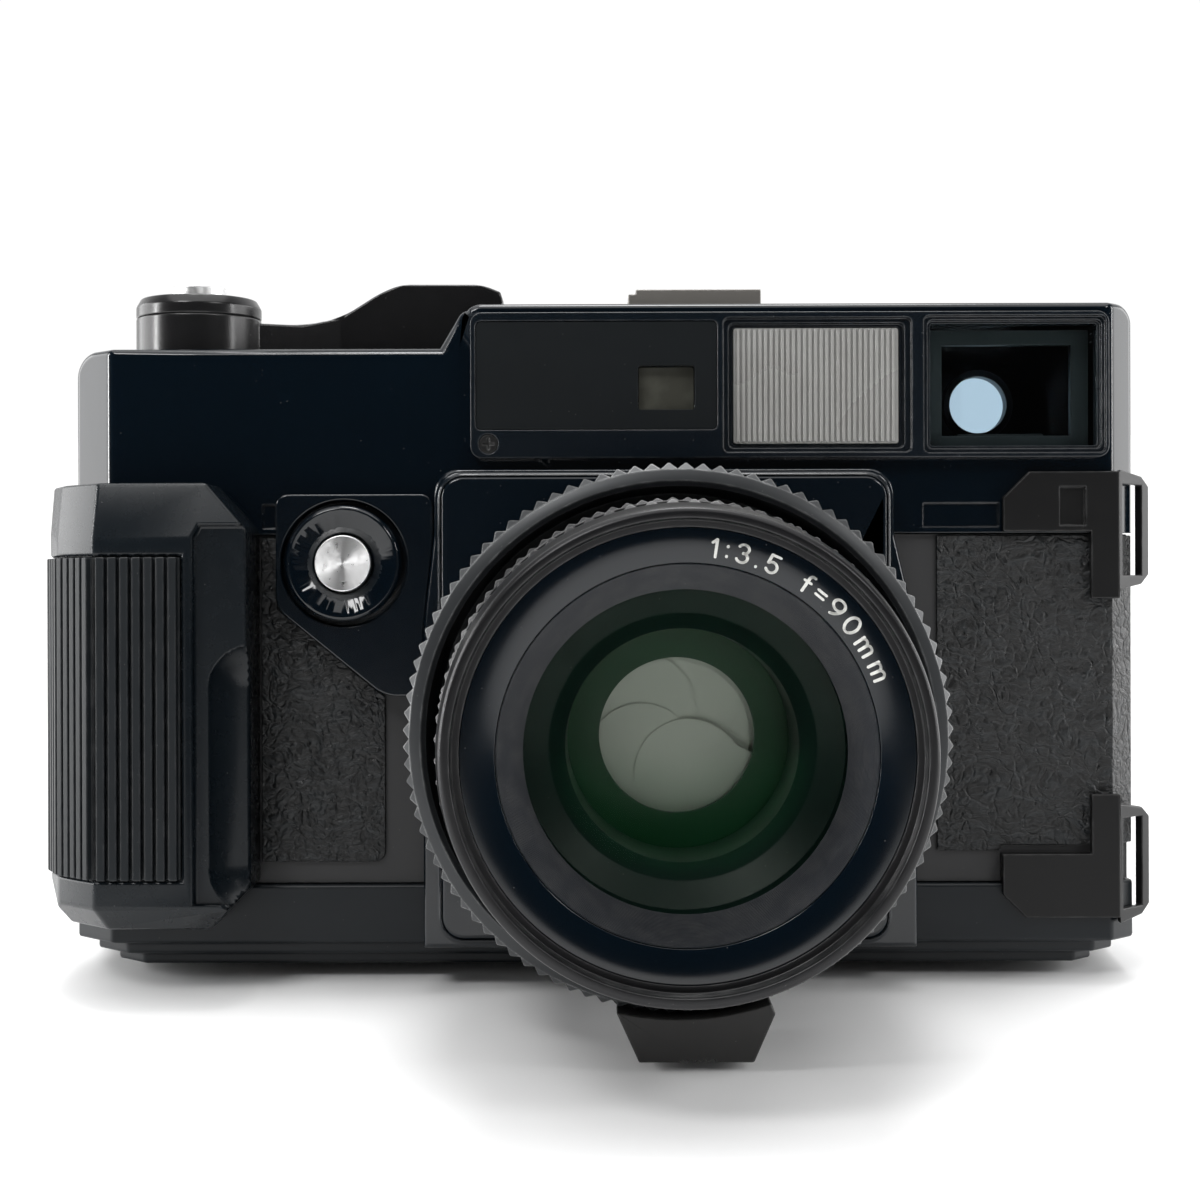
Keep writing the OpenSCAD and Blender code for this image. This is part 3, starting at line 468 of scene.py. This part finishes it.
def lathe(name, node, profile, radius=0.25, count=192):
    """Ring turned about the lens axis from a closed [radius, station] profile."""
    points = filleted(profile, radius)
    bm = bmesh.new()
    loops = []
    for turn in range(count):
        angle = turn * 2 * math.pi / count
        loops.append([bm.verts.new(station(p.x, angle, p.y)) for p in points])
    for turn in range(count):
        first, second = loops[turn], loops[(turn + 1) % count]
        for k in range(len(points)):
            after = (k + 1) % len(points)
            bm.faces.new((first[k], first[after], second[after], second[k]))
    return piece(name, bm, node)


def pyramid_band(name, node, root, tip, count, rear, front, rows, flat):
    """Closed knurled band: rows of four-sided points round the lens, each with a small flat top."""
    bm = bmesh.new()
    pitch = (front - rear) / rows
    turn = 2 * math.pi / count
    base = [[bm.verts.new(station(root, turn * i, rear + pitch * k)) for i in range(count)]
            for k in range(rows + 1)]
    inner = [[bm.verts.new(station(root - KNURL_WALL, turn * i, end)) for i in range(count)]
             for end in (rear, front)]
    walls = [base[0], inner[0], inner[1], base[rows]]
    for first, second in zip(walls, walls[1:]):
        for i in range(count):
            j = (i + 1) % count
            bm.faces.new((first[i], first[j], second[j], second[i]))
    for k in range(rows):
        for i in range(count):
            j = (i + 1) % count
            corners = [base[k][i], base[k][j], base[k + 1][j], base[k + 1][i]]
            tops = []
            for u, v in ((-flat, -flat), (flat, -flat), (flat, flat), (-flat, flat)):
                tops.append(bm.verts.new(station(tip, turn * (i + 0.5 + u), rear + pitch * (k + 0.5 + v))))
            bm.faces.new(tops)
            for side in range(4):
                other = (side + 1) % 4
                bm.faces.new((corners[side], corners[other], tops[other], tops[side]))
    return piece(name, bm, node, smooth_angle=10.0, stands_for=False)


def arc(cx, cy, rx, ry, start, end, steps=18):
    """Points of an elliptic arc, angles in degrees."""
    turns = [math.radians(start + (end - start) * k / steps) for k in range(steps + 1)]
    return [(cx + rx * math.cos(a), cy + ry * math.sin(a)) for a in turns]


STROKE_WIDTH = 0.135
TRACKING = 0.3
NINE = [arc(0.31, 0.69, 0.27, 0.27, 0, 360, 28), arc(0.0, 0.70, 0.58, 0.66, -2, -68)]
STROKES = {
    "0": (0.64, [arc(0.32, 0.5, 0.27, 0.46, 0, 360, 32)]),
    "1": (0.34, [[(0.06, 0.78), (0.24, 0.96), (0.24, 0.04)]]),
    "3": (0.62, [arc(0.29, 0.73, 0.23, 0.23, 155, -85), arc(0.29, 0.28, 0.26, 0.25, 85, -155)]),
    "5": (0.62, [[(0.52, 0.95), (0.14, 0.95), (0.09, 0.50)], arc(0.30, 0.32, 0.26, 0.28, 140, -150)]),
    "9": (0.64, NINE),
    ":": (0.22, [[(0.11, 0.66), (0.11, 0.70)], [(0.11, 0.14), (0.11, 0.18)]]),
    ".": (0.18, [[(0.09, 0.04), (0.09, 0.07)]]),
    "f": (0.38, [arc(0.32, 0.80, 0.14, 0.16, 70, 180) + [(0.18, 0.04)], [(0.04, 0.60), (0.34, 0.60)]]),
    "=": (0.52, [[(0.06, 0.60), (0.46, 0.60)], [(0.06, 0.34), (0.46, 0.34)]]),
    "m": (0.86, [[(0.08, 0.04), (0.08, 0.66)], arc(0.25, 0.46, 0.17, 0.20, 180, 0) + [(0.42, 0.04)],
                 arc(0.59, 0.46, 0.17, 0.20, 180, 0) + [(0.76, 0.04)]]),
}


def stroke_words(words, height, weight, tracking):
    """Round-ended stroke lettering as outlines of discs and bars in mm, starting at X 0."""
    shapes, pen = [], 0.0
    for letter in words:
        advance, lines = STROKES[letter]
        for line in lines:
            points = [Vector((pen + x * height, y * height)) for x, y in line]
            for here in points:
                shapes.append([here + Vector((math.cos(a), math.sin(a))) * weight / 2
                               for a in (k * math.pi / 6 for k in range(12))])
            for first, second in zip(points, points[1:]):
                along = second - first
                if along.length > 1e-6:
                    side = Vector((-along.y, along.x)).normalized() * weight / 2
                    shapes.append([first - side, second - side, second + side, first + side])
        pen += (advance + tracking) * height
    return shapes, pen - tracking * height


def engraved(name, shapes, place, node, ink, thickness=0.06):
    """Filled shapes as thin closed prisms, carried onto a surface by place(x, y)."""
    bm = bmesh.new()
    inward = Vector((0.0, thickness, 0.0)) * MM
    for shape in shapes:
        front = [bm.verts.new(place(p.x, p.y)) for p in shape]
        back = [bm.verts.new(v.co + inward) for v in front]
        bm.faces.new(front)
        bm.faces.new(back[::-1])
        for k in range(len(shape)):
            after = (k + 1) % len(shape)
            bm.faces.new((front[after], front[k], back[k], back[after]))
    return piece(name, bm, node, ink, 60.0, stands_for=False)


def ring_words(name, words, height, radius, first_angle, last_angle, surface, ink):
    """Letters round the lens between two angles in degrees, read clockwise, standing on a radius."""
    shapes, width = stroke_words(words, height, STROKE_WIDTH * height, TRACKING)
    sweep = math.radians(last_angle - first_angle)

    def place(x, y):
        return station(radius + y, math.radians(first_angle) + sweep * x / width, surface(radius + y) + 0.02)

    return engraved(name, shapes, place, "name_ring", ink)


# ---------------------------------------------------------------- covers and body

def cover_weight(p, along):
    """Wide rounding on the outer edges of the top cover, fine on its openings, rim and recesses."""
    outside = (p.y < -10.9 or p.y > 26.9 or p.z > 111.9 or p.x > 84.9 or p.x < -108.9
               or p.x - p.y > 90.8 or -p.x - p.y > 111.8)
    in_windows = -36 < p.x < 79 and 92 < p.z < 117.5 and p.y < 0
    in_strips = p.y < 0 and 79 < p.z < 84 and (45 < p.x < 60.5 or -74 < p.x < -70.5)
    rim = p.z < 79.0 or (p.y > 18.0 and p.z < 84.0)
    eyepiece = p.y > 20 and 54 < p.x < 70 and 97 < p.z < 112
    if in_windows or in_strips or rim or eyepiece or not outside:
        return 0.13
    return 1.0


refined("top_cover", 1.2, 4, weight=cover_weight)
refined("bottom_cover", 0.7, 3)
refined("lens_surround", 0.9, 4, weight=lambda p, along: 1.0 if p.y < -15.5 else 0.35)
PANEL_CORNERS = [(-70.5, 85.4), (-70.5, 65.0), (-51.1, 49.2), (-42.3, 85.4)]
refined("release_panel", 0.35, 4, keep=corner_rounder(PANEL_CORNERS, 2.2))


def grip_weight(p, along):
    """Rounded everywhere but round the finger scoop, whose edge is made of short pieces."""
    return 0.0 if p.x > -82.8 and 8.5 < p.z < 62.0 else 1.0


refined("grip", 0.6, 4, weight=grip_weight)
refined("grip_pad", 0.22, 3)
leather_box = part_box("left_leather")
leather_corner = (leather_box[1][0] / MM, leather_box[0][2] / MM)
refined("left_leather", 0.2, keep=corner_rounder([leather_corner], 2.0))
refined("right_leather", 0.2)
refined("finder_bezel", 0.18, 3)


def open_finder_frame(bm):
    """Widens the opening of the frame behind the finder window."""
    wider = {52.0: 50.2, 72.0: 73.8}
    taller = {98.0: 96.2, 111.0: 112.8}
    for vert in bm.verts:
        x, y, z = vert.co / MM
        if -6.1 < y < -3.9 and 51.9 < x < 72.1 and 97.9 < z < 111.1:
            vert.co.x = wider.get(round(x, 1), x) * MM
            vert.co.z = taller.get(round(z, 1), z) * MM


refined("finder_base", 0.12, 2, keep=open_finder_frame)
refined("nameplate", 0.08, 2)
refined("screws", 0.12, 2)
refined("accessory_shoe", 0.25)
refined("upper_lug", 0.22)
refined("lower_lug", 0.22)


def lever_weight(p, along):
    """Long soft bends along the top of the arm, small rounding elsewhere."""
    bend = abs(along.y) > 0.8 and -70.0 < p.x < -34.0 and p.z > 118.0
    return 1.0 if bend and p.x < -60.0 else 0.7 if bend else 0.16


refined("advance_lever", 2.6, 6, angle=9.0, weight=lever_weight)


def door_weight(p, along):
    """No rounding at the hinge end, wide on the rear edges, fine elsewhere."""
    if p.x < -101.0:
        return 0.0
    return 1.0 if p.y > 28.0 else 0.3


refined("back_door", 0.5, 4, weight=door_weight)
refined("door_leather", 0.3)
refined("door_latch", 0.18)
refined("eyepiece_ring", 0.2)
refined("frosted_window", 0.12, 3)
refined("patch_window", 0.1, 2, look=PATCH_LOOK)
refined("focus_tab", 0.3)
refined("front_collar", 0.3)
refined("front_button", 0.25)
refined("release_button", 0.25)
refined("lever_cap", 0.25)

# ---------------------------------------------------------------- lens

KNURL_ROOT = 42.7
KNURL_TIP = 43.7

lathe("focus_sleeve", "focus_ring", [[39.9, 36], [39.9, 59.2, 0.1], [40.7, 60, 0.15], [42.6, 59.4, 0.12],
                                     [42.55, 58.6, 0.08], [42.2, 58.5, 0.08], [42.2, 30.8, 0.1],
                                     [42.2, 26.5, 0.3], [37.2, 26.5], [37.2, 36]], 0.2, 256)
pyramid_band("focus_knurl", "focus_ring", KNURL_ROOT, KNURL_TIP, 100, 31.0, 58.3, 10, flat=0.05)
lathe("scale_sleeve", "scale_ring", [[37, 18.2], [41, 18.2], [41.6, 19], [41.6, 25.4], [41, 26], [37, 26]])
lathe("flange_sleeve", "lens_flange", [[33.8, 9.5], [37, 9.5], [37, 34], [33.8, 34]])

FACE_RADIUS, FACE_STATION = 33.2, 96.3


def barrel_profile():
    """Front tube with its rim and the fine grooves of the filter thread."""
    points = [[31.2, 12], [33.75, 12], [33.75, 58], [34, 60], [34, 87], [36.1, 87, 0.4], [35.8, 92, 0.2],
              [34.9, 99.6, 0.4], [34.3, 100, 0.25], [33.4, 100, 0.15]]
    for groove in range(5):
        forward = 99.6 - groove * 0.66
        points += [[33.15, forward, 0.03], [33.45, forward - 0.33, 0.03]]
    return points + [[FACE_RADIUS, FACE_STATION, 0.1], [32.2, FACE_STATION], [32.2, 62], [31.2, 60]]


lathe("barrel_shape", "lens_barrel", barrel_profile(), 0.15, 256)
lathe("speed_sleeve", "speed_ring", [[34.05, 61.4], [37, 61.4], [37, 74], [34.05, 74]])
pyramid_band("speed_knurl", "speed_ring", 37.05, 37.65, 100, 62, 70, 4, flat=0.06)
lathe("aperture_sleeve", "aperture_ring", [[34.05, 74.4], [35.6, 74.4], [35.6, 86.6], [34.05, 86.6]])
pyramid_band("aperture_knurl", "aperture_ring", 35.8, 36.75, 72, 76, 84, 3, flat=0.06)

NAME_IN, NAME_OUT = 27.2, 32.15
NAME_STATION_IN, NAME_STATION_OUT = 95.3, 95.8
LETTER_HEIGHT, LETTER_RADIUS = 2.7, 28.15


def name_surface(r):
    """Forward distance of the name ring's face at a radius."""
    return NAME_STATION_IN + (NAME_STATION_OUT - NAME_STATION_IN) * (r - NAME_IN) / (NAME_OUT - NAME_IN)


lathe("name_face", "name_ring", [[NAME_IN, 92.4], [NAME_OUT, 92.4], [NAME_OUT, NAME_STATION_OUT, 0.12],
                                 [NAME_IN, NAME_STATION_IN, 0.12]], count=256)
ring_words("ring_ratio", "1:3.5", LETTER_HEIGHT, LETTER_RADIUS, 83.5, 64.0, name_surface, WHITE_INK)
ring_words("ring_focal", "f=90mm", LETTER_HEIGHT, LETTER_RADIUS, 56.5, 21.0, name_surface, WHITE_INK)


def baffle_profile():
    """Cone lined with fine steps."""
    steps, points = 26, [[23.5, 87]]
    for k in range(steps):
        t = k / steps
        inner, forward = 23.5 + 3.6 * t, 87.2 + 7.8 * t
        points += [[inner, forward, 0.02], [inner + 3.6 / steps, forward + 0.02, 0.02]]
    return points[:-1] + [[27.1, 95, 0.05], [27.15, 87]]


lathe("baffle_steps", "baffle", baffle_profile(), 0.02, 256)
lathe("front_cell_shape", "front_cell", [[17.6, 56], [31, 56], [31, 70], [32.15, 72], [32.15, 92.3],
                                         [27.2, 92.3], [27.2, 86.9], [24.1, 86.9, 0.1], [24.1, 79, 0.2],
                                         [20, 77, 0.3], [17.6, 74, 0.3]])


def front_lens(name, node, radius, back, edge_station, rise, rings=28, count=128):
    """Closed front glass: a spherical face bulging forward, a rim and a flat back."""
    bm = bmesh.new()
    sphere = (radius ** 2 + rise ** 2) / (2 * rise)
    sections = []
    for ring in range(1, rings + 1):
        r = radius * ring / rings
        sections.append((r, edge_station + rise - (sphere - math.sqrt(sphere ** 2 - r ** 2))))
    sections.append((radius, back))
    loops = [[bm.verts.new(station(r, 2 * math.pi * i / count, forward)) for i in range(count)]
             for r, forward in sections]
    top = bm.verts.new(station(0, 0, edge_station + rise))
    centre = bm.verts.new(station(0, 0, back))
    for i in range(count):
        j = (i + 1) % count
        bm.faces.new((top, loops[0][j], loops[0][i]))
        bm.faces.new((centre, loops[-1][i], loops[-1][j]))
        for inner, outer in zip(loops, loops[1:]):
            bm.faces.new((inner[i], inner[j], outer[j], outer[i]))
    return piece(name, bm, node)


front_lens("front_glass_lens", "front_element", radius=24.0, back=79.3, edge_station=82.9, rise=5.4)

# ---------------------------------------------------------------- plain CAD nodes take their looks

for node_name, cad in NODES.items():
    look = LOOKS[SLOT_OF[node_name]]
    for material_slot in cad.material_slots:
        material_slot.material = look
    if not cad.material_slots:
        cad.data.materials.append(look)

# ---------------------------------------------------------------- stage, light and camera

FOOT_REAR = Vector((0.0, 24.0, 0.0))
FOOT_FRONT = Vector((0.0, -44.0, -6.3))
FLOOR_HALF = 6.0
LEAN = math.atan2(FOOT_REAR.z - FOOT_FRONT.z, FOOT_REAR.y - FOOT_FRONT.y)


def floor_look():
    """Pale, slightly uneven paper."""
    look = new_look("pale_floor")
    coords = object_coords(look)
    cloud = noise(look, coords, 3.0, 4.0)
    tone = mix_colour(look, cloud, rgb(0.86), rgb(0.92))
    shader = add(look, "BsdfPrincipled", {"Base Color": tone, "Roughness": 0.6, "Specular IOR Level": 0.2,
                                          "Normal": bump(look, noise(look, coords, 900.0), 0.03, 0.0002)})
    return finish_look(look, shader.outputs["BSDF"])


floor_mesh = bpy.data.meshes.new("floor")
floor_corners = [(x * FLOOR_HALF, y * FLOOR_HALF, 0) for x, y in ((-1, -1), (1, -1), (1, 1), (-1, 1))]
floor_mesh.from_pydata(floor_corners, [], [(0, 1, 2, 3)])
floor = bpy.data.objects.new("floor", floor_mesh)
bpy.context.scene.collection.objects.link(floor)
floor_mesh.materials.append(floor_look())
floor.location = FOOT_FRONT * MM
floor.rotation_euler = (LEAN, 0.0, 0.0)


BODY_MIDDLE = (0.0, 0.0, 0.06)
BODY_REAR = (0.0, 0.1, 0.12)


def put_light(name, kind, power):
    """New light of a kind, linked to the scene; returns the light and its object."""
    light = bpy.data.lights.new(name, kind)
    light.energy = power
    obj = bpy.data.objects.new(name, light)
    bpy.context.scene.collection.objects.link(obj)
    return light, obj


def point_at(obj, place, target):
    """Stands an object at a place in metres, facing a target."""
    obj.location = place
    obj.rotation_mode = "QUATERNION"
    obj.rotation_quaternion = (Vector(target) - Vector(place)).to_track_quat("-Z", "Y")


def softbox(name, place, target, width, height, power):
    """Rectangular area light, sizes in metres and power in watts."""
    light, obj = put_light(name, "AREA", power)
    light.shape = "RECTANGLE"
    light.size, light.size_y = width, height
    point_at(obj, place, target)


def overhead_sun(name, tilt, angle, strength):
    """Soft light from above, leaning to the rear by tilt degrees and angle degrees wide."""
    light, obj = put_light(name, "SUN", strength)
    light.angle = math.radians(angle)
    obj.rotation_euler = (math.radians(tilt), 0.0, 0.0)


def lens_light(name, place, target, spread, power):
    """Narrow spot into the lens that leaves no highlight on the glass."""
    light, obj = put_light(name, "SPOT", power)
    light.spot_size = math.radians(spread)
    light.spot_blend = 0.4
    light.shadow_soft_size = 0.02
    obj.visible_glossy = False
    point_at(obj, place, target)


overhead_sun("ceiling_light", tilt=12.0, angle=70.0, strength=1.9)
overhead_sun("ceiling_strip", tilt=-4.0, angle=20.0, strength=1.2)
softbox("left_strip", (-1.2, -0.30, 0.25), BODY_MIDDLE, width=0.10, height=0.8, power=8.0)
softbox("right_strip", (1.2, -0.35, 0.25), BODY_MIDDLE, width=0.08, height=0.8, power=4.0)
softbox("left_window", (-1.25, 0.25, 0.35), BODY_REAR, width=1.3, height=0.8, power=11.0)
softbox("right_window", (1.25, 0.30, 0.35), BODY_REAR, width=1.1, height=0.7, power=8.0)
softbox("front_key", (-0.55, -1.05, 1.05), BODY_MIDDLE, width=0.5, height=0.25, power=6.5)
softbox("front_fill", (0.75, -0.95, 0.75), BODY_MIDDLE, width=0.35, height=0.2, power=3.0)
lens_light("lens_light", (0.06, -1.2, 0.16), (0.0, -0.045, 0.0445), spread=2.0, power=10.0)

world = bpy.data.worlds.new("studio")
bpy.context.scene.world = world
world.use_nodes = True
tree = world.node_tree
tree.nodes.clear()
direction = tree.nodes.new("ShaderNodeTexCoord")
split = tree.nodes.new("ShaderNodeSeparateXYZ")
ramp = tree.nodes.new("ShaderNodeMapRange")
back = tree.nodes.new("ShaderNodeBackground")
out = tree.nodes.new("ShaderNodeOutputWorld")
tree.links.new(direction.outputs["Generated"], split.inputs[0])
tree.links.new(split.outputs["Y"], ramp.inputs["Value"])
ramp.inputs["From Min"].default_value = -0.25
ramp.inputs["From Max"].default_value = 0.55
ramp.inputs["To Min"].default_value = 0.03
ramp.inputs["To Max"].default_value = 1.02
back.inputs["Color"].default_value = (1.0, 1.0, 1.0, 1.0)
tree.links.new(ramp.outputs["Result"], back.inputs["Strength"])
tree.links.new(back.outputs[0], out.inputs[0])

FOCAL_LENGTH, SENSOR_WIDTH = 62.99, 36.0
CAMERA_PLACE = (-0.01172, -0.39062, 0.06699)
YAW, PITCH_DOWN, ROLL = 0.0019, 0.0017, -0.00275

camera_data = bpy.data.cameras.new("camera")
camera_data.lens = FOCAL_LENGTH
camera_data.sensor_width = SENSOR_WIDTH
camera = bpy.data.objects.new("camera", camera_data)
bpy.context.scene.collection.objects.link(camera)
camera.location = CAMERA_PLACE
aim = Matrix.Rotation(YAW, 4, "Z") @ Matrix.Rotation(math.pi / 2 - PITCH_DOWN, 4, "X")
camera.rotation_mode = "QUATERNION"
camera.rotation_quaternion = (aim @ Matrix.Rotation(ROLL, 4, "Z")).to_quaternion()
camera_data.clip_start = 0.01
bpy.context.scene.camera = camera
bpy.context.scene.view_settings.view_transform = "Standard"
